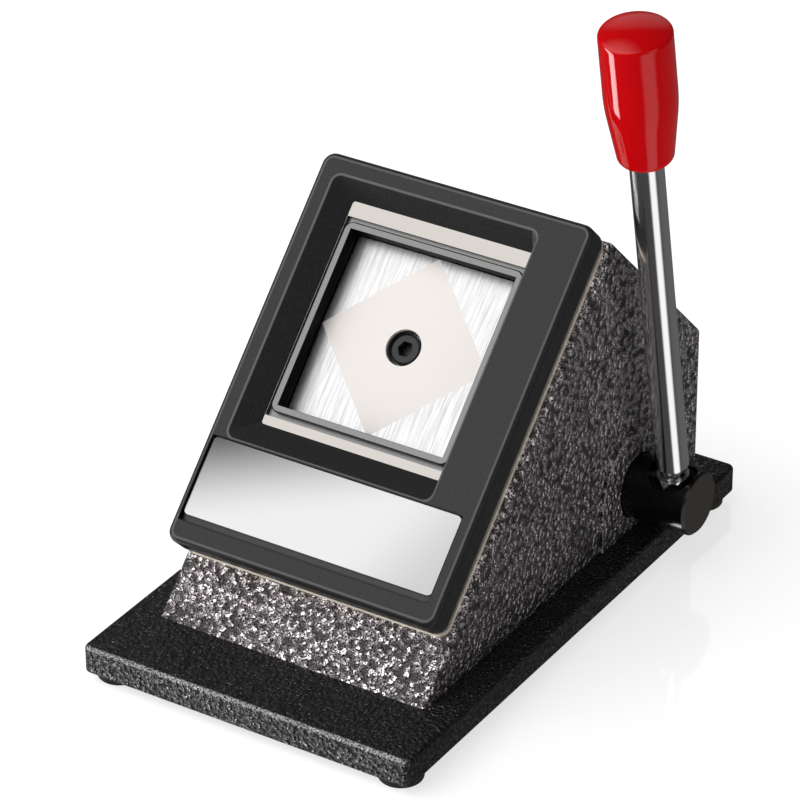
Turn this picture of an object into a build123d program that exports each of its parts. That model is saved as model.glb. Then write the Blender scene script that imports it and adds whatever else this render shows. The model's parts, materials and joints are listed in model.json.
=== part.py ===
from build123d import *
from math import asin, cos, degrees, radians, sin, sqrt
import os

os.makedirs("parts", exist_ok=True)

# A tabletop die cutter that punches a square photo print.  Millimetres, +Z up.  It is drawn about
# the middle of its base plate, then moved so that the origin is on the table under the middle of
# the whole outline, lever included.  The user faces +Y and the lever is on the +X side.

# ---- base plate and feet
base_width = 100.5
base_depth = 170.0
base_thick = 8.0
base_corner = 2.2
base_edge = 1.2
foot_height = 2.5
foot_dia = 12.0
foot_inset_x = 6.75
foot_inset_y = 7.2
foot_round = 0.6
foot_screw_dia = 3.0
foot_screw_head = 5.5
foot_screw_low = 0.5
foot_screw_seat = 1.6
foot_screw_depth = 6.0

base_top = foot_height + base_thick
base_front = -base_depth / 2

# ---- body casting: a wedge with a 45 degree face, a square ridge and a vertical back
body_width = 82.5
body_setback = 22.0
body_height = 92.5
body_length = 142.0
body_round = 1.8
face_wall = 6.0
back_wall = 5.0
side_wall = 5.0
toe_length = 31.0
slope = radians(45)

body_front = base_front + body_setback
body_back = body_front + body_length
ridge_y = body_front + body_height
ridge_z = base_top + body_height
slope_length = body_height / sin(slope)

# Slope frame: x along the width, y up the slope, z out of the sloping face.
incline = Plane(origin=(0, body_front, base_top), x_dir=(1, 0, 0), z_dir=(0, -1, 1))

# ---- lever shaft
shaft_y = 43.7
shaft_z = 22.7
shaft_dia = 12.0
running_gap = 0.03
bush_dia = 16.0
boss_radius = 18.7
boss_proud = 1.0
inner_boss_radius = 12.0
inner_boss_length = 7.0
cavity_round = 2.0
shaft_left = -38.1
shaft_right = 49.4
cap_length = 3.0
shaft_chamfer = 0.6

# ---- die set, centred a little left of the middle
die_x = -3.95
die_v = 87.86
die_size = 51.0
punch_gap = 0.03
rim_size = 55.0
rim_corner = 2.5
rim_chamfer = 0.35
flange_width = 66.0
flange_length = 80.0
plate_thick = 1.2
slot_height = 0.6
flange_thick = 1.8
guide_thick = 1.2
rim_top = 5.6
guide_opening_x = 56.6
guide_opening_v = 57.6
punch_top = 0.5
facet_drop = 0.8
punch_bottom = -22.0
counterbore_dia = 10.2
counterbore_depth = 6.2
punch_screw_dia = 5.0
punch_head_dia = 8.5
punch_head_height = 5.0
punch_head_chamfer = 0.5
punch_opening = 52.5

slot_floor = plate_thick
slot_ceiling = plate_thick + slot_height
flange_top = slot_ceiling + flange_thick
guide_top = flange_top + guide_thick

# ---- bezel and label
bezel_left = -43.8
bezel_right = 39.2
bezel_low = 18.9
bezel_high = 131.4
bezel_top = 9.0
bezel_corner = 3.5
bezel_edge = 1.5
window_left = -38.4
window_right = 24.5
window_low = 49.7
window_high = 125.8
sight_left = -32.3
sight_right = 23.9
sight_low = 56.5
sight_high = 120.9
window_corner = 2.4
sight_corner = 0.8
window_edge = 0.6
label_left = -41.9
label_right = 34.8
label_low = 26.9
label_high = 48.9
label_thick = 0.8
label_corner = 1.6
pocket_floor = 7.4
pocket_gap = 0.2
pocket_lip = 2.0

# ---- mounting plate and the U shaped shim that leaves the paper slot
plate_left = -body_width / 2
plate_high = 130.2
plate_corner = 3.5
plate_lip = 0.35
shim_inset = 0.4
slot_low = 55.0
slot_high = 121.0
slot_stop_x = 30.0

# ---- ram, guide posts and springs
post_dia = 6.0
post_reach_x = 19.0
post_reach_v = 30.7
post_top = -0.6
post_bottom = -36.0
bushing_dia = 9.0
carriage_width = 53.0
carriage_length = 74.0
carriage_top = -22.0
carriage_bottom = -32.0
carriage_corner = 2.0
tapped_depth = 12.0
dowel_dia = 4.0
dowel_reach = 14.0
dowel_depth = 5.0
pad_screw_reach = 12.0
pad_screw_depth = 7.0
pad_screw_head = 5.5
pad_screw_sink = 1.5
stem_width = 34.0
stem_length = 26.0
pad_width = 31.6
pad_thick = 3.0
pad_below = 13.0
pad_above = 11.0
ring_dia = 11.0
ring_thick = 1.0
ring_groove = 5.2
ring_gap = 0.05
ring_mouth = 3.8
stop_radius = 4.2
stop_reach_v = 31.0
stop_gap = 0.07
spring_wire = 1.1
spring_radius = 4.2
spring_turns = 6
spring_gap = 0.05

# ---- cam: an involute, so the ram rises in proportion to the lever's turn
cam_base_radius = 5.75
cam_rest_rise = 9.0
cam_gap = 0.05
cam_width = 16.0
cam_hub_radius = 8.2
lever_travel = radians(75)
cam_roll_lead = 0.1
cam_roll_tail = 0.06
cam_flank_points = 13
key_size = 4.0
key_length = 14.0
key_outside = 1.6
key_inside = 2.2

ram_stroke = cam_base_radius * lever_travel

# ---- lever
hub_left = 40.2
hub_right = 61.2
hub_radius = 9.0
hub_chamfer = 0.7
hub_gap = 0.4
hub_end_gap = 0.1
hub_bore_end = 49.6
rod_x = 53.7
rod_lean = radians(10.7)
rod_dia = 9.0
rod_start = 11.3
rod_neck_dia = 7.6
rod_end = 114.0
tang_dia = 7.0
tang_end = 142.0
stud_dia = 6.0
stud_start = -3.0
seat_height = 5.9
seat_dia = 13.4
nut_across = 9.0
nut_thick = 2.4
grip_start = 113.1
grip_end = 152.2
grip_radius = 9.6
grip_top_radius = 9.5
heel_radius = 2.0
lip_radius = 1.0
dome_angle = 20
grip_foot = 5.5
grip_flank = (9.25, 14.4)
grip_full = 21.0
pin_dia = 4.0
pin_inset = 6.0
rod_chamfer = 0.5
nut_turn = 29

frame_shift = (base_width / 2 - rod_x - grip_radius) / 2

# ---- retaining parts on the shaft
washer_dia = 20.0
washer_thick = 1.0
washer_gap = 0.1
collar_gap = 0.05
collar_dia = 21.0
collar_length = 7.0
collar_screw_dia = 4.0

# ---- fasteners
body_bolt_dia = 5.0
body_bolt_head = 9.6
bolt_sink = 2.4
bolt_depth = 12.0
bolt_post_half = 5.5
bolt_post_height = 24.0
front_bolt_x = 30.0
front_bolt_y = -46.0
rear_bolt_x = 30.5
rear_bolt_y = 67.5
m3 = 3.0
m3_head = 5.5
m3_head_height = 3.0
m3_socket = 2.5
m3_socket_depth = 1.5
m5_socket = 4.0
m5_socket_depth = 2.8
hole_gap = 0.4
die_screw_reach_x = 26.0
die_screw_reach_v = 34.8
die_screw_tip = 4.75
bezel_screw_tip = 6.4


def save(shapes, node):
    """Write one shape, or several alike as separate solids of one node."""
    shapes = list(shapes) if isinstance(shapes, (list, tuple)) else [shapes]
    placed = [s.moved(Location((frame_shift, 0, 0))) for s in shapes]
    export_step(placed[0] if len(placed) == 1 else Compound(children=placed), f"parts/{node}.step")


def block(x0, x1, y0, y1, z0, z1):
    return Pos((x0 + x1) / 2, (y0 + y1) / 2, (z0 + z1) / 2) * Box(x1 - x0, y1 - y0, z1 - z0)


def rod(dia, z0, z1, x=0.0, y=0.0):
    return Pos(x, y, (z0 + z1) / 2) * Cylinder(dia / 2, z1 - z0)


def rod_x_way(dia, x0, x1, y=None, z=None):
    y = shaft_y if y is None else y
    z = shaft_z if z is None else z
    return Pos((x0 + x1) / 2, y, z) * Rot(0, 90, 0) * Cylinder(dia / 2, x1 - x0)


def on_face(shape):
    """Put a shape drawn in the slope frame on the sloping face."""
    return shape.moved(incline.location)


def square(size, z0, z1, gap=0.0):
    half = size / 2 - gap
    return block(die_x - half, die_x + half, die_v - half, die_v + half, z0, z1)


def around_die(reach_x, reach_v):
    return [(die_x + i * reach_x, die_v + j * reach_v) for i in (-1, 1) for j in (-1, 1)]


foot_places = [
    (i * (base_width / 2 - foot_inset_x), j * (base_depth / 2 - foot_inset_y))
    for i in (-1, 1)
    for j in (-1, 1)
]
bolt_places = [(i * front_bolt_x, front_bolt_y) for i in (-1, 1)]
bolt_places += [(i * rear_bolt_x, rear_bolt_y) for i in (-1, 1)]
post_places = around_die(post_reach_x, post_reach_v)
die_screw_places = around_die(die_screw_reach_x, die_screw_reach_v)
bezel_screw_places = [(-33.0, 44.0), (31.5, 44.0), (33.0, 117.0)]
shaft_v = ((shaft_y - body_front) + (shaft_z - base_top)) / sqrt(2)
shaft_h = ((shaft_z - base_top) - (shaft_y - body_front)) / sqrt(2)
pad_face = shaft_h + cam_rest_rise + cam_gap


# ------------------------------------------------------------------ base plate and feet
def bolt(reach):
    """Countersunk body bolt, head down, from the underside of the base."""
    low = foot_height + hole_gap / 2
    head = Pos(0, 0, low + bolt_sink / 2) * Cone(body_bolt_head / 2, body_bolt_dia / 2, bolt_sink)
    return head + rod(body_bolt_dia, low, reach)


def make_base_plate():
    slab = block(-base_width / 2, base_width / 2, base_front, -base_front, foot_height, base_top)
    slab = fillet(slab.edges().filter_by(Axis.Z), base_corner)
    slab = fillet(slab.faces().sort_by(Axis.Z)[-1].edges(), base_edge)
    slab = fillet(slab.faces().sort_by(Axis.Z)[0].edges(), base_edge / 2)
    sink = Cone(body_bolt_head / 2 + 0.3, (body_bolt_dia + hole_gap) / 2, bolt_sink + hole_gap / 2)
    for x, y in bolt_places:
        slab -= rod(body_bolt_dia + hole_gap, foot_height, base_top, x, y)
        slab -= Pos(x, y, foot_height + (bolt_sink + hole_gap / 2) / 2) * sink
    for x, y in foot_places:
        slab -= rod(foot_screw_dia, foot_height, foot_height + foot_screw_depth + 0.2, x, y)
    return slab


def make_foot():
    foot = rod(foot_dia, 0, foot_height)
    foot = fillet(foot.faces().sort_by(Axis.Z)[0].edges(), foot_round)
    foot -= rod(foot_screw_head + 0.6, 0, foot_screw_seat)
    return foot - rod(foot_screw_dia + 0.2, 0, foot_height)


def make_foot_screw():
    head = rod(foot_screw_head, foot_screw_low, foot_screw_seat)
    return head + rod(foot_screw_dia, foot_screw_seat, foot_height + foot_screw_depth)


# ------------------------------------------------------------------ body casting
def wedge():
    outline = Polyline(
        (body_front, base_top),
        (body_back, base_top),
        (body_back, base_top + body_height - (body_back - ridge_y)),
        (ridge_y, ridge_z),
        close=True,
    )
    face = make_face(outline)
    solid = extrude(Plane.YZ * face, body_width / 2, both=True)
    edges = [e for e in solid.edges() if e.center().Z > base_top + 0.5]
    return fillet(edges, body_round)


def cavity():
    """The hollow inside the casting, open at the bottom."""
    low = base_top - 1.0
    inner_front = body_front + toe_length
    inner_back = body_back - back_wall
    face_rise = base_top - face_wall * sqrt(2) - body_front
    peak_y = body_front + (slope_length - back_wall + face_wall) / sqrt(2)
    peak_z = base_top + (slope_length - back_wall - face_wall) / sqrt(2)
    outline = Polyline(
        (inner_front, low),
        (inner_back, low),
        (inner_back, peak_z - (inner_back - peak_y)),
        (peak_y, peak_z),
        (inner_front, inner_front + face_rise),
        close=True,
    )
    solid = extrude(Plane.YZ * make_face(outline), body_width / 2 - side_wall, both=True)
    return fillet(solid.edges().filter_by(Axis.X), cavity_round)


def arch(radius, x0, x1):
    """A boss round the shaft that runs straight down to the base."""
    legs = block(x0, x1, shaft_y - radius, shaft_y + radius, base_top, shaft_z)
    top = rod_x_way(2 * radius, x0, x1)
    return (top + legs) & block(x0, x1, body_front, body_back, base_top, ridge_z)


def make_body_casting():
    half = body_width / 2
    body = wedge() - cavity()
    for side in (-1, 1):
        inner = sorted((side * (half - side_wall + 1.0), side * (half - side_wall - inner_boss_length)))
        outer = sorted((side * (half - 1.0), side * (half + boss_proud)))
        body += arch(inner_boss_radius, *inner)
        body += arch(boss_radius, *outer)
    rear_inner = body_back - back_wall
    for side in (-1, 1):
        post_x = sorted((side * (rear_bolt_x - bolt_post_half), side * (half - 1.0)))
        post_y = (rear_bolt_y - bolt_post_half, rear_inner + 1.0)
        body += block(*post_x, *post_y, base_top, base_top + bolt_post_height)
    for x, y in bolt_places:
        body -= rod(body_bolt_dia, base_top - 1.0, base_top + bolt_depth + 1.0, x, y)
    body -= rod_x_way(bush_dia, -half - boss_proud - 1.0, half + boss_proud + 1.0)
    body -= rod_x_way(2 * (hub_radius + hub_gap), hub_left - hub_end_gap, half + boss_proud + 1.0)
    stop_low = carriage_top + ram_stroke + stop_gap
    for j in (-1, 1):
        stop = rod(2 * stop_radius, stop_low, -face_wall + 1.0, die_x, die_v + j * stop_reach_v)
        body += on_face(stop)
    body -= on_face(square(punch_opening, -face_wall - 12.0, 1.0))
    for x, v in post_places:
        body -= on_face(rod(post_dia, -face_wall - 1.0, post_top, x, v))
    for x, v in die_screw_places + bezel_screw_places:
        body -= on_face(rod(m3 + hole_gap, -face_wall - 1.0, 1.0, x, v))
        body -= on_face(rod(m3_head + 0.6, -face_wall - m3_head_height - 1.0, -face_wall, x, v))
    return body


# ------------------------------------------------------------------ plates under the bezel
def make_mounting_plate():
    """Sheet under the bezel, which shows as a fine lip along the bezel's right and lower edges."""
    plate = block(plate_left, bezel_right + plate_lip, bezel_low - plate_lip, plate_high, 0, plate_thick)
    plate = fillet(plate.edges().filter_by(Axis.Z), plate_corner)
    plate -= square(die_size + 0.6, -1, plate_thick + 1)
    for x, v in die_screw_places + bezel_screw_places:
        plate -= rod(m3 + hole_gap, -1, plate_thick + 1, x, v)
    return on_face(plate)


def make_slot_shim():
    outer = block(
        plate_left + shim_inset, bezel_right - shim_inset,
        bezel_low + shim_inset, plate_high - shim_inset, slot_floor, slot_ceiling,
    )
    outer = fillet(outer.edges().filter_by(Axis.Z), plate_corner)
    outer -= block(plate_left - 1, slot_stop_x, slot_low, slot_high, 0, slot_ceiling + 1)
    for x, v in die_screw_places + bezel_screw_places:
        outer -= rod(m3 + hole_gap, 0, slot_ceiling + 1, x, v)
    return on_face(outer)


def die_block(width, length, z0, z1):
    """A block centred on the die, with the width across and the length up the slope."""
    return Pos(die_x, die_v, (z0 + z1) / 2) * Box(width, length, z1 - z0)


def make_die_plate():
    flange = die_block(flange_width, flange_length, slot_ceiling, flange_top)
    rim = fillet(square(rim_size, slot_ceiling, rim_top).edges().filter_by(Axis.Z), rim_corner)
    rim = chamfer(rim.faces().sort_by(Axis.Z)[-1].edges(), rim_chamfer)
    plate = flange + rim - square(die_size, 0, rim_top + 1)
    for x, v in die_screw_places:
        plate -= rod(m3, 0, flange_top + 1, x, v)
    return on_face(plate)


def make_guide_plate():
    plate = die_block(flange_width, flange_length, flange_top, guide_top)
    plate -= die_block(guide_opening_x, guide_opening_v, 0, guide_top + 1)
    for x, v in die_screw_places:
        plate -= rod(m3, 0, guide_top + 1, x, v)
    return on_face(plate)


def hex_socket(across, depth):
    return extrude(RegularPolygon(across / 2, 6, major_radius=False), depth)


def cap_screw(x, v, tip):
    """Socket cap screw driven up the slope's normal from inside the casting."""
    head = rod(m3_head, -face_wall - m3_head_height, -face_wall, x, v)
    socket = Pos(x, v, -face_wall - m3_head_height) * hex_socket(m3_socket, m3_socket_depth)
    return on_face(head + rod(m3, -face_wall, tip, x, v) - socket)


# ------------------------------------------------------------------ bezel and label
def window_cut():
    upper = RectangleRounded(window_right - window_left, window_high - window_low, window_corner)
    lower = RectangleRounded(sight_right - sight_left, sight_high - sight_low, sight_corner)
    top_place = Pos((window_right + window_left) / 2, (window_high + window_low) / 2, bezel_top)
    low_place = Pos((sight_right + sight_left) / 2, (sight_high + sight_low) / 2, guide_top)
    funnel = loft([(low_place * lower).face(), (top_place * upper).face()])
    return funnel + extrude(low_place * lower, -guide_thick)


def make_bezel():
    bezel = block(bezel_left, bezel_right, bezel_low, bezel_high, slot_ceiling, bezel_top)
    bezel = fillet(bezel.edges().filter_by(Axis.Z), bezel_corner)
    bezel = fillet(bezel.faces().sort_by(Axis.Z)[-1].edges(), bezel_edge)
    bezel -= window_cut()
    top_face = bezel.faces().sort_by(Axis.Z)[-1]
    bezel = fillet(top_face.inner_wires()[0].edges(), window_edge)
    bezel -= block(
        label_left - pocket_gap, label_right + pocket_gap,
        label_low - pocket_lip, label_high + pocket_gap, pocket_floor, bezel_top + 1,
    )
    bezel -= die_block(flange_width + pocket_gap, flange_length + pocket_gap, 0, guide_top)
    for x, v in bezel_screw_places:
        bezel -= rod(m3, 0, bezel_screw_tip, x, v)
    return on_face(bezel)


def make_label_plate():
    plate = block(label_left, label_right, label_low, label_high, pocket_floor, pocket_floor + label_thick)
    plate = fillet(plate.edges().filter_by(Axis.Z), label_corner)
    return on_face(plate)


# ------------------------------------------------------------------ guide posts, rings, springs
def make_guide_post(x, v):
    post = rod(post_dia, post_bottom, post_top, x, v)
    groove = rod(post_dia + 1, -ring_thick / 2, ring_thick / 2) - rod(ring_groove, -ring_thick, ring_thick)
    post -= Pos(x, v, carriage_bottom - ring_gap - ring_thick / 2) * groove
    return on_face(post)


def make_post_ring(x, v):
    top = carriage_bottom - ring_gap
    ring = rod(ring_dia, top - ring_thick, top, x, v) - rod(ring_groove, top - 2, top + 1, x, v)
    mouth = block(x - ring_mouth / 2, x + ring_mouth / 2, v, v + ring_dia, top - 2, top + 1)
    return on_face(ring - mouth)


def make_return_spring(x, v):
    low = carriage_top + spring_wire / 2 + spring_gap
    high = -face_wall - spring_wire / 2 - spring_gap
    path = Helix(pitch=(high - low) / spring_turns, height=high - low, radius=spring_radius)
    section = Plane(origin=path @ 0, z_dir=path % 0) * Circle(spring_wire / 2)
    coil = sweep(section, path=path)
    return on_face(Pos(x, v, low) * coil)


# ------------------------------------------------------------------ ram and punch
def make_ram():
    plate = die_block(carriage_width, carriage_length, carriage_bottom, carriage_top)
    stem = die_block(stem_width, stem_length, pad_face + pad_thick, carriage_bottom)
    ram = fillet(plate.edges().filter_by(Axis.Z), carriage_corner)
    ram += fillet(stem.edges().filter_by(Axis.Z), carriage_corner)
    for x, v in post_places:
        ram -= rod(bushing_dia, carriage_bottom - 1, carriage_top + 1, x, v)
    ram -= rod(punch_screw_dia, carriage_top - tapped_depth, carriage_top + 1, die_x, die_v)
    for i in (-1, 1):
        ram -= rod(dowel_dia, carriage_top - dowel_depth, carriage_top + 1, die_x + i * dowel_reach, die_v)
        screw_x = die_x + i * pad_screw_reach
        ram -= rod(m3, pad_face - 1, pad_face + pad_thick + pad_screw_depth + 0.5, screw_x, die_v)
    return on_face(ram)


def make_carriage_bush(x, v):
    bush = rod(bushing_dia, carriage_bottom, carriage_top, x, v)
    return on_face(bush - rod(post_dia + 2 * running_gap, carriage_bottom - 1, carriage_top + 1, x, v))


def make_punch():
    """Square punch.  Four ground facets fall from the diamond in the middle to the corners."""
    half = die_size / 2 - punch_gap
    body = square(die_size, punch_bottom, punch_top, punch_gap)
    corner_reach = half / sqrt(2)
    tilt = degrees(asin(facet_drop / corner_reach))
    for turn in (45, 135, 225, 315):
        cutter = Pos(corner_reach, 0, 0) * Rot(0, tilt, 0) * block(0, 60, -60, 60, 0, 10)
        body -= Pos(die_x, die_v, punch_top) * Rot(0, 0, turn) * cutter
    body -= rod(counterbore_dia, punch_top - counterbore_depth, punch_top + 1, die_x, die_v)
    body -= rod(punch_screw_dia + hole_gap, punch_bottom - 1, punch_top, die_x, die_v)
    for i in (-1, 1):
        body -= rod(dowel_dia, punch_bottom - 1, punch_bottom + dowel_depth, die_x + i * dowel_reach, die_v)
    return on_face(body)


def make_punch_screw():
    seat = punch_top - counterbore_depth
    head = rod(punch_head_dia, seat, seat + punch_head_height, die_x, die_v)
    head = chamfer(head.faces().sort_by(Axis.Z)[-1].edges(), punch_head_chamfer)
    socket_floor = seat + punch_head_height - m5_socket_depth
    socket = Pos(die_x, die_v, socket_floor) * hex_socket(m5_socket, m5_socket_depth)
    shank = rod(punch_screw_dia, carriage_top - tapped_depth + 0.5, seat, die_x, die_v)
    return on_face(head - socket + shank)


def make_dowel(x):
    reach = dowel_depth - 0.1
    return on_face(rod(dowel_dia, carriage_top - reach, punch_bottom + reach, x, die_v))


def make_wear_pad():
    contact = shaft_v + cam_base_radius
    pad = block(
        die_x - pad_width / 2, die_x + pad_width / 2,
        contact - pad_below, contact + pad_above, pad_face, pad_face + pad_thick,
    )
    sink = Cone(pad_screw_head / 2 + 0.35, m3 / 2 + hole_gap / 2, pad_screw_sink + 0.1)
    for i in (-1, 1):
        x = die_x + i * pad_screw_reach
        pad -= rod(m3 + hole_gap, pad_face - 1, pad_face + pad_thick + 1, x, die_v)
        pad -= Pos(x, die_v, pad_face + (pad_screw_sink + 0.1) / 2) * sink
    return on_face(pad)


def make_pad_screw(x):
    low = pad_face + 0.2
    head = Pos(x, die_v, low + pad_screw_sink / 2) * Cone(pad_screw_head / 2, m3 / 2, pad_screw_sink)
    return on_face(head + rod(m3, low, pad_face + pad_thick + pad_screw_depth, x, die_v))


# ------------------------------------------------------------------ cam shaft
def involute_point(roll):
    """A point of the cam flank, which meets the pad once the lever has turned by roll - rest_roll."""
    turn = cam_rest_rise / cam_base_radius - roll
    reach = cam_base_radius * roll
    return (
        cam_base_radius * cos(turn) - reach * sin(turn),
        cam_base_radius * sin(turn) + reach * cos(turn),
    )


def key_space():
    """The key lies on the side away from the cam's nose."""
    half = key_size / 2
    shaft_edge = shaft_v - shaft_dia / 2
    return block(
        die_x - key_length / 2, die_x + key_length / 2,
        shaft_edge - key_outside, shaft_edge + key_inside, shaft_h - half, shaft_h + half,
    )


def make_cam():
    rest_roll = cam_rest_rise / cam_base_radius
    span = lever_travel + cam_roll_lead + cam_roll_tail
    steps = [i / (cam_flank_points - 1) for i in range(cam_flank_points)]
    flank = [involute_point(rest_roll - cam_roll_lead + span * step) for step in steps]
    tip = flank[-1]
    outline = Spline(*flank) + Polyline(
        tip, (tip[0] - 1.8, tip[1] - 3.2), (2.5, -7.2), (-2.0, 2.0), (1.0, 7.4), flank[0],
    )
    nose = make_face(outline)
    profile = nose + Circle(cam_hub_radius) - Circle(shaft_dia / 2)
    yz = Plane(origin=(die_x, shaft_v, shaft_h), x_dir=(0, 1, 0), z_dir=(1, 0, 0))
    cam = extrude(yz * profile, cam_width / 2, both=True)
    return on_face(cam - key_space())


def make_cam_shaft():
    shaft = rod_x_way(shaft_dia, shaft_left, shaft_right)
    shaft = chamfer(shaft.edges().filter_by(GeomType.CIRCLE), shaft_chamfer)
    shaft -= on_face(key_space())
    return shaft - hub_pin_solid(pin_dia)


def make_shaft_bush(x0, x1):
    return rod_x_way(bush_dia, x0, x1) - rod_x_way(shaft_dia + 2 * running_gap, x0 - 1, x1 + 1)


def make_washer(x0):
    return rod_x_way(washer_dia, x0, x0 + washer_thick) - rod_x_way(shaft_dia, x0 - 1, x0 + 2)


def make_collar(x0):
    collar = rod_x_way(collar_dia, x0, x0 + collar_length) - rod_x_way(shaft_dia, x0 - 1, x0 + 10)
    return collar - collar_screw(x0)


def collar_screw(x0):
    place = Pos(x0 + collar_length / 2, shaft_y, shaft_z)
    return place * rod(collar_screw_dia, shaft_dia / 2, collar_dia / 2 - 0.3)


# ------------------------------------------------------------------ lever
lean = Pos(rod_x, shaft_y, shaft_z) * Rot(degrees(rod_lean), 0, 0)


def hub_pin_solid(dia):
    place = lean * Pos(hub_left + pin_inset - rod_x, 0, 0) * Rot(90, 0, 0)
    return place * Cylinder(dia / 2, 2 * hub_radius - 1.0)


def make_lever_hub():
    hub = rod_x_way(2 * hub_radius, hub_left, hub_right)
    hub = chamfer(hub.faces().sort_by(Axis.X)[-1].edges(), hub_chamfer)
    hub -= rod_x_way(shaft_dia, hub_left - 1, hub_bore_end)
    hub -= hub_pin_solid(pin_dia)
    hub -= lean * rod(seat_dia, seat_height, hub_radius + 2)
    return hub - lean * rod(stud_dia, stud_start - 0.4, hub_radius)


def make_lever_rod():
    bar = rod(stud_dia, stud_start, rod_start)
    bar += rod(rod_neck_dia, seat_height + nut_thick + 0.1, rod_start)
    shank = rod(rod_dia, rod_start, rod_end)
    shank = chamfer(shank.edges().filter_by(GeomType.CIRCLE), rod_chamfer)
    bar += shank
    bar += rod(tang_dia, rod_end, tang_end)
    return lean * bar


def make_jam_nut():
    nut = extrude(RegularPolygon(nut_across / 2, 6, major_radius=False), nut_thick)
    nut = nut & Cone(nut_across / 2 + 1.9, nut_across / 2 - 0.1, 2 * nut_thick)
    nut -= rod(stud_dia, -1, nut_thick + 1)
    return lean * Pos(0, 0, seat_height) * Rot(0, 0, nut_turn) * nut


def make_lever_grip():
    """A turned plastic knob: a conical flank, a nearly straight upper half and a slightly domed top."""
    length = grip_end - grip_start
    heel = CenterArc((grip_foot, heel_radius), heel_radius, -90, 90)
    flank = Line(heel @ 1, grip_flank)
    shoulder = Spline(
        grip_flank, (grip_radius, grip_full), (grip_top_radius, length - lip_radius),
        tangents=(flank % 1, (0, 1)),
    )
    lip = CenterArc((grip_top_radius - lip_radius, length - lip_radius), lip_radius, 0, 90 - dome_angle)
    dome_reach = (lip @ 1).X
    dome_radius = dome_reach / sin(radians(dome_angle))
    dome_centre = (lip @ 1).Y - dome_radius * cos(radians(dome_angle))
    dome = CenterArc((0, dome_centre), dome_radius, 90 - dome_angle, dome_angle)
    top = dome_centre + dome_radius
    outline = Wire([heel, flank, shoulder, lip, dome, Line((0, top), (0, 0)), Line((0, 0), heel @ 0)])
    knob = revolve(Plane.XZ * Face(outline), Axis.Z)
    knob -= rod(rod_dia, -1, rod_end - grip_start)
    knob -= rod(tang_dia, 0, tang_end - grip_start + 0.3)
    return lean * Pos(0, 0, grip_start) * knob


# ------------------------------------------------------------------ write every node
save(make_base_plate(), "base_plate")
save([Pos(x, y, 0) * make_foot() for x, y in foot_places], "rubber_feet")
save([Pos(x, y, 0) * make_foot_screw() for x, y in foot_places], "foot_screws")
save(make_body_casting(), "body_casting")
save([Pos(x, y, 0) * bolt(base_top + bolt_depth) for x, y in bolt_places], "body_bolts")
save(make_mounting_plate(), "mounting_plate")
save(make_slot_shim(), "slot_shim")
save(make_die_plate(), "die_plate")
save(make_guide_plate(), "guide_plate")
save([cap_screw(x, v, die_screw_tip) for x, v in die_screw_places], "die_screws")
save(make_bezel(), "bezel")
save([cap_screw(x, v, bezel_screw_tip) for x, v in bezel_screw_places], "bezel_screws")
save(make_label_plate(), "label_plate")
save([make_guide_post(x, v) for x, v in post_places], "guide_posts")
save([make_post_ring(x, v) for x, v in post_places], "post_rings")
save([make_return_spring(x, v) for x, v in post_places], "return_springs")
save(make_ram(), "ram")
save([make_carriage_bush(x, v) for x, v in post_places], "carriage_bushes")
save(make_punch(), "punch")
save(make_punch_screw(), "punch_screw")
save([make_dowel(die_x + i * dowel_reach) for i in (-1, 1)], "punch_dowels")
save(make_wear_pad(), "wear_pad")
save([make_pad_screw(die_x + i * pad_screw_reach) for i in (-1, 1)], "wear_pad_screws")

bush_outer = body_width / 2 + boss_proud
bush_inner = body_width / 2 - side_wall - inner_boss_length
hub_seat = hub_left - hub_end_gap
bushes = [make_shaft_bush(-bush_outer + cap_length, -bush_inner), make_shaft_bush(bush_inner, hub_seat)]
washer_place = bush_inner - washer_thick - washer_gap
collar_place = washer_place - collar_length - collar_gap
save(bushes, "shaft_bushes")
save(rod_x_way(bush_dia, -bush_outer, -bush_outer + cap_length), "shaft_end_cap")
save(make_cam_shaft(), "cam_shaft")
save(make_cam(), "cam")
save(on_face(key_space()), "cam_key")
save([make_washer(x) for x in (washer_place, -washer_place - washer_thick)], "thrust_washers")
save([make_collar(x) for x in (collar_place, -collar_place - collar_length)], "shaft_collars")
save([collar_screw(x) for x in (collar_place, -collar_place - collar_length)], "collar_screws")
save(make_lever_hub(), "lever_hub")
save(hub_pin_solid(pin_dia), "hub_pin")
save(make_lever_rod(), "lever_rod")
save(make_jam_nut(), "jam_nut")
save(make_lever_grip(), "lever_grip")
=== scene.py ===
# %% [markdown]
# # A tabletop die cutter
# This heavy little press cuts a square print out of a sheet of paper.  Its measured frame comes from
# the CAD model: every plate, screw and shaft already sits in its true place.  This lesson keeps that
# frame still, gives each piece its finish, and rebuilds the few pieces that need finer surfaces.
# %% Load the fixed frame
import json
import math

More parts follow.
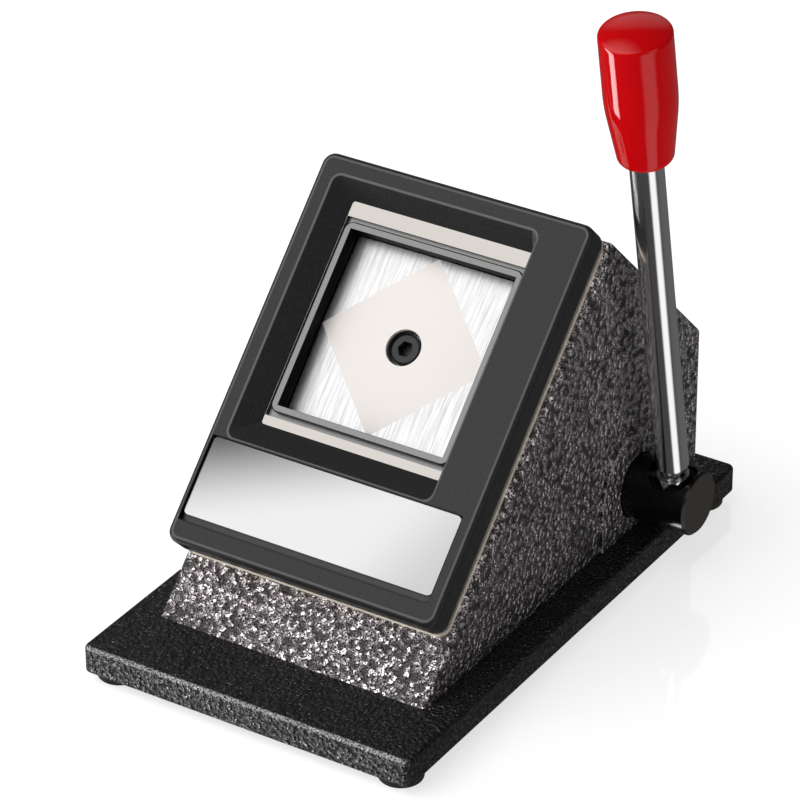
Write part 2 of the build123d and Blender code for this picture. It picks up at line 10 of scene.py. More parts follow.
import bpy
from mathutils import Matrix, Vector


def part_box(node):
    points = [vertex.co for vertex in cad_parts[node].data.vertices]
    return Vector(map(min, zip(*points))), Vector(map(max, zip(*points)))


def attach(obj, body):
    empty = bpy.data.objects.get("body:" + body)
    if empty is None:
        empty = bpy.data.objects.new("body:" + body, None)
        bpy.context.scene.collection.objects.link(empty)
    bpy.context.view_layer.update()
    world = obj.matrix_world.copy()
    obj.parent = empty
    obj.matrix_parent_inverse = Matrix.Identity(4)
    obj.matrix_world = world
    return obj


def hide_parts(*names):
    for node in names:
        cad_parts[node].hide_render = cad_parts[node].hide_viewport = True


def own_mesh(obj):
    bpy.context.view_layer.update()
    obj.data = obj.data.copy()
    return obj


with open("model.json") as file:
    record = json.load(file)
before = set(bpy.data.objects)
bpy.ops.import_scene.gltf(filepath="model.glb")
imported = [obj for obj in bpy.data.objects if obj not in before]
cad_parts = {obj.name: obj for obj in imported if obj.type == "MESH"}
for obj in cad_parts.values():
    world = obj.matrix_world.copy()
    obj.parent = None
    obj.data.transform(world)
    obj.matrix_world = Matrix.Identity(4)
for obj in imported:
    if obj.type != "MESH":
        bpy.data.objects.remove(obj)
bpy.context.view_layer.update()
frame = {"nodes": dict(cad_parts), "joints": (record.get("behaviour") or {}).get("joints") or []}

# %% [markdown]
# ## Places taken from the frame
# The press has two working directions: up the sloping face, and straight out of it.  The ram joint
# already points out of the face, so the slope's own axes follow from it, and the hinge gives the
# lever's shaft.  Pieces are placed in these axes, never by eye.
# %% Read the slope and the shaft
mm = 0.001
joints = {joint["name"]: joint for joint in frame["joints"]}
out_of_face = Vector(joints["ram_slide"]["axis"]).normalized()
sideways = Vector((1, 0, 0))
up_slope = out_of_face.cross(sideways)
shaft_point = Vector(joints["lever_turn"]["pos_m"])


def middle(node):
    """The centre of a CAD node's box."""
    low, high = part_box(node)
    return (low + high) / 2


def reach(node, axis):
    """The lowest and highest place of a CAD node's points along any axis."""
    points = [vertex.co.dot(axis) for vertex in frame["nodes"][node].data.vertices]
    return min(points), max(points)


die_x = middle("die_plate").x
die_v = sum(reach("punch", up_slope)) / 2
die_half = (reach("punch", up_slope)[1] - reach("punch", up_slope)[0]) / 2
punch_top = reach("punch", out_of_face)[1]
print(f"punch {2 * die_half / mm:.2f} mm square, {die_v / mm:.1f} mm up the slope")

# %% [markdown]
# ## A small language for shaders
# Blender's material nodes are wired by hand in its editor.  In a script the same wiring reads best
# as arithmetic, so one small class wraps a node's output and turns `+`, `*` or `1 - mask` into Math
# nodes.  It is only for numbers: a Math node would turn a colour grey.
# %% Wrap a socket so that shader maths reads as maths
class Wire:
    """A number travelling between shader nodes."""

    def __init__(self, board, socket):
        self.board = board
        self.socket = socket

    def math(self, operation, *others):
        return self.board.node("Math", {"operation": operation}, [self, *others])

    def __add__(self, other):
        return self.math("ADD", other)

    def __sub__(self, other):
        return self.math("SUBTRACT", other)

    def __mul__(self, other):
        return self.math("MULTIPLY", other)

    def __truediv__(self, other):
        return self.math("DIVIDE", other)

    def __rsub__(self, other):
        return self.board.node("Math", {"operation": "SUBTRACT"}, [other, self])

    def __rtruediv__(self, other):
        return self.board.node("Math", {"operation": "DIVIDE"}, [other, self])

    __radd__ = __add__
    __rmul__ = __mul__

    def __abs__(self):
        return self.math("ABSOLUTE")

    def power(self, other):
        return self.math("POWER", other)

    def at_least(self, other):
        return self.math("MAXIMUM", other)

    def at_most(self, other):
        return self.math("MINIMUM", other)

    def between(self, low, high):
        """0 at low, 1 at high, smooth in between."""
        settings = {"interpolation_type": "SMOOTHSTEP"}
        return self.board.node("MapRange", settings, {"Value": self, "From Min": low, "From Max": high})


print("a Wire can", ", ".join(word for word in vars(Wire) if not word.startswith("__")))

# %% [markdown]
# ## A board to wire on
# A material is a board of nodes that ends in one shader.  Each node could be made with its own few
# lines, but then the wiring hides the recipe.  One method, `node`, makes any of them from its type,
# its settings and what goes into its sockets, and the others only name the uses that come back:
# where a point is, a noise, a blend of two colours, a bump.
# %% Lay out a board of nodes
class Board:
    """The node board of one material, or of the world."""

    def __init__(self, name, kind="materials"):
        self.owner = getattr(bpy.data, kind).new(name)
        self.owner.use_nodes = True
        self.tree = self.owner.node_tree
        self.tree.nodes.clear()

    def plug(self, socket, value):
        if isinstance(value, Wire):
            self.tree.links.new(value.socket, socket)
        else:
            socket.default_value = value

    def node(self, kind, settings=None, values=None, output=0):
        """Add a node: its type, its settings, then the values or links of its sockets."""
        made = self.tree.nodes.new("ShaderNode" + kind)
        for key, value in (settings or {}).items():
            setattr(made, key, value)
        named = values.items() if isinstance(values, dict) else enumerate(values or [])
        for key, value in named:
            self.plug(made.inputs[key], value)
        return Wire(self, made.outputs[output] if len(made.outputs) else None)

    def here(self):
        """The point being shaded, in the object's own metres."""
        return self.node("TexCoord", output="Object")

    def place(self):
        """That point's x, y and z."""
        here = self.here()
        return [self.node("SeparateXYZ", {}, [here], output=k) for k in range(3)]

    def dot(self, first, second):
        return self.node("VectorMath", {"operation": "DOT_PRODUCT"}, [first, tuple(second)], output=1)

    def slope_place(self):
        """How far the point is across, up the slope and out of the face."""
        here = self.here()
        return [self.dot(here, axis) for axis in (sideways, up_slope, out_of_face)]

    def vector(self, x, y, z):
        return self.node("CombineXYZ", {}, [x, y, z])

    def noise(self, where, scale, detail=2.0, roughness=0.5):
        """Scale is the number of blots in a metre."""
        values = {"Vector": where, "Scale": scale, "Detail": detail, "Roughness": roughness}
        return self.node("TexNoise", {}, values)

    def cells(self, where, scale, feature="F1"):
        """The distance to the nearest of many scattered points."""
        return self.node("TexVoronoi", {"feature": feature}, {"Vector": where, "Scale": scale})

    def mix(self, amount, first, second):
        """Blend two colours."""
        return self.node("Mix", {"data_type": "RGBA"}, {0: amount, 6: first, 7: second}, output=2)

    def bump(self, height, depth):
        """Depth is the real height in metres of a full step."""
        return self.node("Bump", {}, {"Height": height, "Distance": depth, "Strength": 1.0})

    def finish(self, **sockets):
        """Close the board with one Principled shader; names use _ for a space."""
        shader = self.node("BsdfPrincipled", {}, {k.replace("_", " "): v for k, v in sockets.items()})
        self.node("OutputMaterial", {}, {"Surface": shader})
        return self.owner


def grey(level, warm=0.0):
    """A neutral colour, a little warmer or cooler."""
    return (level * (1 + warm), level, level * (1 - warm), 1)


def darker(colour, share):
    """The same colour with a share of its light taken away."""
    return tuple(part * (1 - share) for part in colour[:3]) + (1,)


print("a Board can", ", ".join(word for word in vars(Board) if not word.startswith("__")))

# %% [markdown]
# ## Hammered paint
# The casting and its base wear a black wrinkle lacquer.  It dries into small glossy pebbles with
# dark creases between them.  Real displacement would need millions of faces, so the pebbles are a
# bump.  One size of Voronoi cells, bent by noise, gives them and a second, finer one breaks their
# crests.  Tiny flakes scattered in the film give a metallic sparkle, most of it on the crests.
# Along a few edges, small pale specks are a painted highlight, a glint of light drawn into the film.
# %% Mix the hammered lacquer
def hammered_paint(name, film, flake, flake_share, gloss, relief, pebbles_per_metre, painted_glint):
    """Relief is a pebble's height in metres.  A larger flake_share means fewer flakes.  The painted_glint
    argument is a function that takes the board and gives a mask of the edges where pale specks paint a
    highlight."""
    board = Board(name)
    here = board.here()
    push = 1.2 * mm
    grains_per_metre = 2300
    painted_glint_metal = (0.62, 0.6, 0.62, 1)
    wobble = board.node("TexNoise", {}, {"Vector": here, "Scale": 900, "Detail": 2.0}, output="Color")
    bent = board.node("Mix", {"data_type": "VECTOR"}, {0: push, 4: here, 5: wobble}, output=1)
    pebbles = board.cells(bent, pebbles_per_metre, feature="SMOOTH_F1")
    small = board.cells(bent, pebbles_per_metre * 2.6)
    crest = (1 - pebbles).between(0.3, 0.8)
    height = crest + (1 - small) * 0.15
    grains = board.noise(here, grains_per_metre, 1.0)
    # painted highlight: along the masked edges, pale non-metallic specks stand in for a glint of light
    painted_edge_mark = painted_glint(board) * grains.between(0.35, 0.6)
    sparkle = grains.between(flake_share, flake_share + 0.12)
    lacquer = board.mix(sparkle * (0.12 + crest * 0.88), film, flake)
    return board.finish(
        Base_Color=board.mix(painted_edge_mark, lacquer, painted_glint_metal),
        Metallic=(sparkle * 4).at_most(1) * (1 - painted_edge_mark),
        Roughness=0.62 - crest * 0.36 + sparkle * 0.06,
        Specular_IOR_Level=gloss,
        Normal=board.bump(height, relief),
    )


print("hammered lacquer recipe ready")

# %% [markdown]
# ## Painted edge highlights
# Two edges that stick out get a painted highlight of pale specks: the rim of the raised boss round the
# lever's shaft, and the rounded front edge of the base.  Such places could be painted by hand, but a mask
# worked out from the shape fits it exactly.  The boss's rim is a distance from the shaft, and the
# base's edge is wherever the surface leans halfway between the front and the top.
# %% Find the edges that get a painted highlight, and mix the paints
def boss_rim_painted_glint(board):
    """A painted highlight: a thin line along the front half of the raised boss round the lever's shaft."""
    x, y, z = board.place()
    boss_radius = 18.7 * mm
    boss_face = reach("body_casting", sideways)[1]
    ahead = shaft_point.y - y
    above = (z - shaft_point.z).at_least(0)
    distance = (ahead * ahead + above * above).power(0.5) - boss_radius
    line = 1 - abs(distance).between(0.2 * mm, 0.6 * mm)
    return line * x.between(boss_face - 0.3 * mm, boss_face) * ahead.between(4 * mm, 10 * mm)


def front_edge_painted_glint(board):
    """A painted highlight on the rounded upper edge at the front of the base."""
    forward_and_up = (Vector((0, 0, 1)) - Vector((0, 1, 0))).normalized()
    normal = board.node("NewGeometry", output="Normal")
    return board.dot(normal, forward_and_up).between(0.75, 0.97) * 0.7


body_paint = hammered_paint(
    "hammered_black_body", film=grey(0.005, 0.2), flake=(0.95, 0.87, 0.89, 1), flake_share=0.42,
    gloss=0.5, relief=0.95 * mm, pebbles_per_metre=680, painted_glint=boss_rim_painted_glint,
)
# painted shade: the base's flakes are dimmer than the body's, for the less light on its level top and
# front
base_paint = hammered_paint(
    "hammered_black_base", film=grey(0.003), flake=(0.3, 0.28, 0.29, 1), flake_share=0.57,
    gloss=0.35, relief=0.35 * mm, pebbles_per_metre=1000, painted_glint=front_edge_painted_glint,
)
print("hammered lacquer:", body_paint.name, base_paint.name)

# %% [markdown]
# ## Rubber, oxide and gloss mouldings
# The feet are dull dark rubber, the socket screws are blackened by an oxide bath, and the machined
# iron inside is grey and matt.  All three are one colour under a fine grain, so one recipe serves
# them.  The grip is a hard red moulding and the shaft's end cap a black one.  Their skin is nearly
# a mirror, and what sells it is a faint ripple that keeps its reflections from being perfect.
# %% Mould the plastics and grain the dull parts
def grained(name, colour, roughness, grains_per_metre, depth):
    """A dull skin whose grain breaks up both its shine and its relief."""
    board = Board(name)
    here = board.here()
    grain = board.noise(here, grains_per_metre, 3.0, 0.6)
    cloud = board.noise(here, 60, 2.0)
    return board.finish(
        Base_Color=board.mix(cloud, colour, darker(colour, 0.15)),
        Roughness=roughness + (grain - 0.5) * 0.12,
        Specular_IOR_Level=0.25,
        Normal=board.bump(grain, depth),
    )


def glossy(name, colour, deep, roughness, gloss):
    """Gloss moulding: an almost even colour under a clear, hard skin."""
    board = Board(name)
    here = board.here()
    cloud = board.noise(here, 45, 2.0)
    ripple = board.noise(here, 260, 1.0)
    return board.finish(
        Base_Color=board.mix(cloud, colour, deep),
        Roughness=roughness + cloud * 0.04,
        Specular_IOR_Level=gloss,
        Normal=board.bump(ripple, 0.003 * mm),
    )


rubber = grained("foot_rubber", grey(0.02), 0.75, 900, 0.05 * mm)
oxide_black = grained("oxide_black", grey(0.02), 0.35, 1500, 0.01 * mm)
cast_iron = grained("machined_iron", grey(0.2), 0.5, 800, 0.03 * mm)
black_gloss = glossy("black_gloss", grey(0.004), grey(0.002), 0.15, 0.2)
red_gloss = glossy("red_gloss", (0.6, 0.001, 0.004, 1), (0.54, 0.0005, 0.002, 1), 0.04, 0.3)
print("dull:", rubber.name, oxide_black.name, cast_iron.name, "glossy:", black_gloss.name, red_gloss.name)

# %% [markdown]
# ## Metals
# Ground and brushed steel carries long scratches in one direction.  An anisotropic shader would
# smear its highlights without showing a single scratch, so noise is stretched along that direction
# instead, and the same noise drives the shade, the roughness and a very shallow bump.  Chrome has
# no scratches, only a haze that dulls it by a few hundredths.
# %% Grind and polish the metals
def brushed(name, colour, roughness, scratches_per_metre=2200, stretch=60, contrast=0.35):
    """Steel with scratches that run sideways; a stretch of 1 leaves an even grain."""
    board = Board(name)
    across, up, out = board.slope_place()
    scratches = board.noise(board.vector(across / stretch, up, out), scratches_per_metre, 3.0, 0.7)
    return board.finish(
        Base_Color=board.mix(scratches, darker(colour, contrast), colour),
        Metallic=1.0,
        Roughness=roughness + (scratches - 0.5) * 0.18,
        Normal=board.bump(scratches, 0.004 * mm),
    )


def polished(name, colour, roughness):
    """Plated and buffed until only a haze is left."""
    board = Board(name)
    haze = board.noise(board.here(), 90, 3.0)
    return board.finish(
        Base_Color=colour,
        Metallic=1.0,
        Roughness=roughness + haze * 0.06,
        Normal=board.bump(haze, 0.002 * mm),
    )


ground_steel = brushed("ground_steel", grey(0.45), 0.3)
tool_steel = brushed("tool_steel", grey(0.14), 0.38, 1500, 1, 0.3)
strip_steel = brushed("strip_steel", grey(0.32, 0.06), 0.34, 700, 12, 0.22)
spring_steel = brushed("spring_steel", grey(0.4), 0.35, 1200, 1, 0.3)
bronze = brushed("bronze", (0.62, 0.4, 0.16, 1), 0.35, 1800, 30, 0.25)
chrome = polished("polished_chrome", grey(0.74), 0.1)
metals = (ground_steel, tool_steel, strip_steel, spring_steel, bronze, chrome)
print("metals:", [metal.name for metal in metals])

# %% [markdown]
# ## The punch face
# The square punch is ground in five faces.  Its middle is a fine bright diamond whose points meet
# the middles of the edges, and the four corners fall away a little and keep a coarse brushed grain.
# The diamond's brightness is a painted sheen: a near-white, mostly non-metallic colour in place of
# the light that its ground face mirrors.
# The diamond is the place where the distances from the centre, across and up, add up to less than
# half the side, which is one line of shader arithmetic.
# %% Grind the punch
def punch_steel():
    """Brushed corners round a smooth diamond painted with a near-white sheen; scratches run up the slope.
    """
    board = Board("punch_steel")
    across, up_from_foot, out = board.slope_place()
    up = up_from_foot - die_v
    soft = 0.15 * mm
    scratch_shrink = 0.012
    span = abs(across - die_x) + abs(up)
    top_face = out.between(punch_top - 1.2 * mm, punch_top - 1.0 * mm)
    diamond = (1 - span.between(die_half - soft, die_half + soft)) * top_face
    scratches = board.noise(board.vector(across, up * scratch_shrink, out), 2400, 3.0, 0.75)
    fine = board.noise(board.vector(across, up, out), 1500, 4.0, 0.6)
    coarse = board.mix(scratches.between(0.2, 0.8), grey(0.3), grey(0.56))
    # painted sheen: the diamond's near-white colour, mostly not metallic, stands in for the light its
    # ground face mirrors
    smooth = board.mix(fine, (0.82, 0.78, 0.75, 1), (0.87, 0.83, 0.8, 1))
    return board.finish(
        Base_Color=board.mix(diamond, coarse, smooth),
        Metallic=1 - diamond * 0.75,
        Roughness=0.34 + scratches * 0.1 + diamond * 0.3,
        Normal=board.bump(scratches * (1 - diamond) + fine * diamond * 0.3, 0.01 * mm),
    )


punch_finish = punch_steel()
print("punch steel:", punch_finish.name)

# %% [markdown]
# ## The blank label
# The strip below the window is a blank sheet of rolled aluminium.  Bare aluminium this smooth shows
# whatever stands in front of it, and that reflection is painted into the metal's colour: a painted
# reflection, darkest at the upper left corner and a little darker again at the right end.  It would
# be wrong from every other side; each step of it is a mask made from the label's measured edges.
# %% Roll the label sheet
into_sheet = math.sqrt(2)      # a sheet's grain is a little finer through its thickness


def label_sheet():
    """Rolled aluminium with sideways scratches and a painted reflection, darkest towards its upper left
    corner.
    """
    board = Board("label_aluminium")
    x, up, out = board.slope_place()
    left, right = reach("label_plate", sideways)
    low, high = reach("label_plate", up_slope)
    across = (x - left) / (right - left)
    down = (high - up) / (high - low)
    scratches = board.noise(board.vector(x / 100, up, out * into_sheet), 2600, 3.0, 0.7)
    # painted reflection: the metal's colour runs from dark at the upper left to bright, and dims again at
    # the right end
    dull = board.mix((across * 0.7 + down * 0.5).between(-0.1, 0.6), grey(0.03), grey(0.33))
    shade = board.mix((across - 0.75 + down * 0.15).between(0.0, 0.4), dull, grey(0.24))
    return board.finish(
        Base_Color=shade,
        Metallic=1.0,
        Roughness=0.2 + (scratches - 0.5) * 0.1,
        Normal=board.bump(scratches, 0.001 * mm),
    )


label_finish = label_sheet()
print("label finish:", label_finish.name)

# %% [markdown]
# ## The die and its plates
# The die is satin on its rim, and its cutting wall, where the punch passes, is painted black as the
# shade down in the gap.  The plated sheet under it is cream outside and painted black as shade
# inside its opening.  Both could be split into separate faces with separate materials, but the wall
# is exactly where the distance from the punch's middle is half its side, so one mask each does it.
# %% Finish the die and the plated sheet
def from_punch(board):
    """The place on the slope, and how far it is from the punch's middle, square-wise."""
    x, up, out = board.slope_place()
    return x, up, out, abs(x - die_x).at_least(abs(up - die_v))


def die_steel():
    """Satin rim; the cutting wall is painted black as shade."""
    board = Board("die_steel")
    x, up, out, from_middle = from_punch(board)
    rim = from_middle.between(die_half + 0.08 * mm, die_half + 0.14 * mm)
    grain = board.noise(board.vector(x, up, out * into_sheet), 1500, 3.0, 0.6)
    satin = board.mix(grain, grey(0.11), grey(0.17))
    return board.finish(
        # painted shade: inside the rim the cutting wall is near black and not metallic
        Base_Color=board.mix(rim, grey(0.003), satin),
        Metallic=rim,
        Roughness=0.6 - rim * 0.24 + (grain - 0.5) * 0.1,
        Specular_IOR_Level=0.1,
        Normal=board.bump(grain, 0.004 * mm),
    )


def plate_steel():
    """Cream plated sheet that shows as a lip under the frame; painted black as shade inside its opening.
    """
    board = Board("plated_sheet")
    x, up, out, from_middle = from_punch(board)
    painted_shade_in_opening = from_middle.between(die_half + 1.0 * mm, die_half + 1.5 * mm)
    grain = board.noise(board.vector(x / 10, up, out * into_sheet), 700, 3.0, 0.6)
    cream = board.mix(grain, (0.86, 0.78, 0.66, 1), (0.95, 0.88, 0.76, 1))
    return board.finish(
        # painted shade: near black inside the opening, round the punch
        Base_Color=board.mix(painted_shade_in_opening, grey(0.003), cream),
        Metallic=painted_shade_in_opening * 0.45,
        Roughness=0.3 + (grain - 0.5) * 0.1,
        Specular_IOR_Level=0.3,
        Normal=board.bump(grain, 0.002 * mm),
    )


die_finish, plate_finish = die_steel(), plate_steel()
print("die and plate finishes:", die_finish.name, plate_finish.name)

# %% [markdown]
# ## The lever's hub
# The hub is a short black bar with the rod screwed into it.  Its end was faced on a lathe and is
# left a shade browner and duller than its round side.  Two materials on one piece would need its
# faces sorted; a mask on the last fraction of a millimetre picks out the end by itself.
# %% Blacken the hub
def hub_black():
    board = Board("hub_black")
    x, y, z = board.place()
    end = reach("lever_hub", sideways)[1]
    turned = x.between(end - 0.3 * mm, end - 0.2 * mm)
    cloud = board.noise(board.vector(x, y, z), 900, 2.0)
    skin = board.mix(cloud, grey(0.004), grey(0.002))
    return board.finish(
        Base_Color=board.mix(turned, skin, (0.032, 0.026, 0.022, 1)),
        Roughness=0.16 + turned * 0.15 + cloud * 0.03,
        Specular_IOR_Level=0.25,
        Normal=board.bump(cloud, 0.002 * mm),
    )


hub_finish = hub_black()
print("hub finish:", hub_finish.name)

# %% [markdown]
# ## The window frame
# The frame round the window is moulded in charcoal plastic with a fine spark-eroded grain.  Its outer
# edge and its window are traced by fine lighter lines, painted highlights where the rounded edges
# would catch the light, and the label's pocket by a dark line, the painted shadow of the pocket's
# wall.  Modelled rounding would be thousands of tiny facets.  Here an edge is where the distance to
# a rectangle with round corners is nearly nothing, and that distance is worked out the way a ruler
# would: past the flat sides, or past the corner's own circle.
# %% Paint highlights and a shadow along the edges of the window frame
def frame_painted_lines():
    board = Board("charcoal_frame")
    x, up, out = board.slope_place()
    left, right = reach("bezel", sideways)
    low, high = reach("bezel", up_slope)
    top = reach("bezel", out_of_face)[1]
    label_left, label_right = reach("label_plate", sideways)
    label_low, label_high = reach("label_plate", up_slope)
    border, corner = 1.3 * mm, 2.4 * mm
    slack, open_foot = 0.2 * mm, 2 * mm
    jamb_left, jamb_right, sill, head = 5.4 * mm, 14.7 * mm, 30.8 * mm, 5.6 * mm

    def past(box_left, box_right, box_low, box_high):
        """Distance outside a rectangle with round corners; negative inside it."""
        over_x = abs(x - (box_left + box_right) / 2) - (box_right - box_left) / 2 + corner
        over_up = abs(up - (box_low + box_high) / 2) - (box_high - box_low) / 2 + corner
        round_x, round_up = over_x.at_least(0), over_up.at_least(0)
        outside = (round_x * round_x + round_up * round_up).power(0.5)
        return outside + over_x.at_least(over_up).at_most(0) - corner

    def painted_edge_mark(distance, width):
        return 1 - abs(distance).between(width * 0.3, width)

    pocket = past(label_left - slack, label_right + slack, label_low - open_foot, label_high + slack)
    window = past(left + jamb_left, right - jamb_right, low + sill, high - head)
    outer = past(left + border, right - border, low + border, high - border)
    skin = out.between(top - 0.7 * mm, top - 0.3 * mm)
    # painted highlights: lighter lines along the outer edge and the window's edge
    lines = painted_edge_mark(outer, 0.45 * mm) * 0.8 + painted_edge_mark(window - slack, 0.5 * mm)
    # painted shadow: a dark line along the label's pocket wall
    pocket_painted_shadow = painted_edge_mark(pocket, 0.55 * mm)
    sunk = (1 - pocket.between(-0.5 * mm, -0.2 * mm)) * (1 - skin)
    grain = board.noise(board.here(), 2400, 3.0, 0.6)
    speck = grain.between(0.52, 0.62)
    body = board.mix(speck, grey(0.013), grey(0.024))
    deep = board.mix(sunk, body, grey(0.045))
    return board.finish(
        Base_Color=board.mix(pocket_painted_shadow, board.mix(lines * skin, deep, grey(0.1)), grey(0.002)),
        Roughness=0.44 + (grain - 0.5) * 0.12 - lines * skin * 0.08,
        Specular_IOR_Level=0.25,
        Normal=board.bump(grain, 0.03 * mm),
    )


frame_finish = frame_painted_lines()
print("frame finish:", frame_finish.name)

# %% [markdown]
# ## Dress the CAD pieces
# Every CAD node now gets the finish of its trade: bought screws are oxide black, turned parts are
# ground, plates are brushed and bushes are bronze.  Materials could be chosen by rules on the
# names, but a plain list, like a workshop's finishing sheet, is easier to read and to correct.
# %% Give each node its finish
finishes = {
    "base_plate": base_paint,
    "body_casting": body_paint,
    "rubber_feet": rubber,
    "foot_screws": ground_steel,
    "body_bolts": oxide_black,
    "mounting_plate": plate_finish,
    "slot_shim": strip_steel,
    "die_plate": die_finish,
    "guide_plate": strip_steel,
    "die_screws": oxide_black,
    "bezel": frame_finish,
    "bezel_screws": oxide_black,
    "label_plate": label_finish,
    "guide_posts": ground_steel,
    "post_rings": oxide_black,
    "shaft_bushes": bronze,
    "shaft_end_cap": black_gloss,
    "return_springs": spring_steel,
    "cam_shaft": ground_steel,
    "cam": tool_steel,
    "cam_key": ground_steel,
    "thrust_washers": bronze,
    "shaft_collars": oxide_black,
    "collar_screws": oxide_black,
    "lever_hub": hub_finish,
    "hub_pin": ground_steel,
    "lever_rod": chrome,
    "jam_nut": chrome,
    "lever_grip": red_gloss,
    "ram": cast_iron,
    "carriage_bushes": bronze,
    "punch": punch_finish,
    "punch_screw": oxide_black,
    "punch_dowels": ground_steel,
    "wear_pad": tool_steel,
    "wear_pad_screws": oxide_black,
}


def dress(piece, material):
    piece.data.materials.clear()
    piece.data.materials.append(material)


for node_name, finish in finishes.items():
    dress(frame["nodes"][node_name], finish)
print(len(finishes), "nodes dressed, left bare:", sorted(set(frame["nodes"]) - set(finishes)))

# %% [markdown]
# ## Return springs
# Four coil springs sit round the guide posts and push the ram back down.  A real spring has closed
# end turns, so its pitch is small at both ends and wide in the middle.  A sweep along a helix could
# be made with a curve, but a mesh can flatten as the ram rises, so rings of points are placed
# along the wire's path instead.  First come the sizes, which the CAD springs' own box gives.
# %% Measure the springs
def mesh_piece(name, points, faces, material):
    """A smooth piece made of points and faces, already dressed."""
    mesh = bpy.data.meshes.new(name)
    mesh.from_pydata([tuple(p) for p in points], [], faces)
    mesh.shade_smooth()
    piece = bpy.data.objects.new(name, mesh)
    bpy.context.scene.collection.objects.link(piece)
    dress(piece, material)
    return piece


spring_low, spring_high = reach("return_springs", out_of_face)
spring_left, spring_right = reach("return_springs", sideways)
spring_bottom, spring_top = reach("return_springs", up_slope)
spring_length = spring_high - spring_low
wire_radius = 0.5 * mm
coil_outer = 4.7 * mm
turns = 6.5
end_turns = 1.0
steps_per_turn = 30
wire_sides = 12


def coil_height(turn):
    """Share of the spring's height reached after so many turns, nearly flat at both ends."""
    flat = 2.1 * wire_radius / (spring_length - 2 * wire_radius)
    if turn < end_turns:
        return flat * turn / end_turns
    if turn > turns - end_turns:
        return 1 - flat * (turns - turn) / end_turns
    return flat + (1 - 2 * flat) * (turn - end_turns) / (turns - 2 * end_turns)


print(f"springs {spring_length / mm:.1f} mm long, {turns} turns of {2 * wire_radius / mm:.1f} mm wire")

# %% [markdown]
# ## Winding the wire
# A wire is a circle carried along a path.  At each step of the helix a ring of points is laid
# across the path, and neighbouring rings are joined by four-sided faces.  The two ends are closed
# by one flat face each, as a cut wire is.
# %% Wind one spring
def wind_spring(centre_x, centre_v):
    """Points and faces of one coil about a post, with its wire ends closed."""
    radius = coil_outer - wire_radius
    path = []
    for step in range(int(turns * steps_per_turn) + 1):
        turn = step / steps_per_turn
        angle = 2 * math.pi * turn
        height = spring_low + wire_radius
        height += coil_height(turn) * (spring_length - 2 * wire_radius)
        around = sideways * math.cos(angle) + up_slope * math.sin(angle)
        axis_point = sideways * centre_x + up_slope * centre_v + out_of_face * height
        path.append((axis_point + around * radius, around))
    points = []
    for place, around in path:
        for side in range(wire_sides):
            angle = 2 * math.pi * side / wire_sides
            points.append(place + (around * math.cos(angle) + out_of_face * math.sin(angle)) * wire_radius)
    faces = []
    for ring in range(len(path) - 1):
        for side in range(wire_sides):
            first = ring * wire_sides + side
            second = ring * wire_sides + (side + 1) % wire_sides
            faces.append((first, second, second + wire_sides, first + wire_sides))
    faces.append(tuple(reversed(range(wire_sides))))
    faces.append(tuple(len(points) - wire_sides + side for side in range(wire_sides)))
    return points, faces


print("faces in one spring:", len(wind_spring(0, 0)[1]))

# %% [markdown]
# ## Four springs under the ram
# The springs' upper ends stay still and the ram presses on their lower ends, so as the ram slides
# they would flatten towards the top.  Four coils are wound here and given a mesh of their own, and
# the share of their length left at the end of the ram's travel is worked out, but nothing flattens them.
# %% Fit the four springs
spring_points, spring_faces = [], []
for centre_x in (spring_left + coil_outer, spring_right - coil_outer):
    for centre_v in (spring_bottom + coil_outer, spring_top - coil_outer):
        points, faces = wind_spring(centre_x, centre_v)
        shift = len(spring_points)
        spring_points += points
        spring_faces += [tuple(corner + shift for corner in face) for face in faces]
springs = mesh_piece("wound_springs", spring_points, spring_faces, spring_steel)
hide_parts("return_springs")
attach(springs, "frame")
ram_travel = max(abs(limit) for limit in joints["ram_slide"]["range_m"])
keep = (spring_length - ram_travel) / spring_length
anchor = sideways * die_x + up_slope * die_v + out_of_face * spring_high
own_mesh(springs)
print(f"springs keep {keep:.3f} of {spring_length / mm:.1f} mm")

# %% [markdown]
# ## The lever's line
# The rod and the grip are round about the lever's own line, which leans a little.  Typing its angle
# in would break as soon as the frame changed, so the line is found from the CAD rod itself, through
# the middles of its two flat ends.
# %% Find the lever's line
ring_depth = 1.5 * mm
rod_points = [vertex.co.copy() for vertex in frame["nodes"]["lever_rod"].data.vertices]
rough_line = (middle("lever_grip") - middle("lever_rod")).normalized()


def end_middle(points, line, side):
    """The middle of the flat end ring of a turned piece."""
    furthest = max(side * point.dot(line) for point in points)
    ring = [point for point in points if side * point.dot(line) > furthest - ring_depth]
    return sum(ring, Vector()) / len(ring)


rod_foot = end_middle(rod_points, rough_line, -1)
rod_tip = end_middle(rod_points, rough_line, 1)
lever_line = (rod_tip - rod_foot).normalized()
pivot = rod_foot + lever_line * (shaft_point - rod_foot).dot(lever_line)
print("lever leans", round(math.degrees(math.atan2(-lever_line.y, lever_line.z)), 2), "degrees")

# %% [markdown]
# ## A lathe
# Turned parts are made by spinning an outline: pairs of a radius and a height along the lever.  A
# Screw modifier would do it too, but a few lines of mesh code keep the poles clean and put the
# piece straight on the lever's leaning line.  Edges sharper than the crease angle stay crisp.
# %% Spin an outline about the lever's line
crease = math.radians(35)


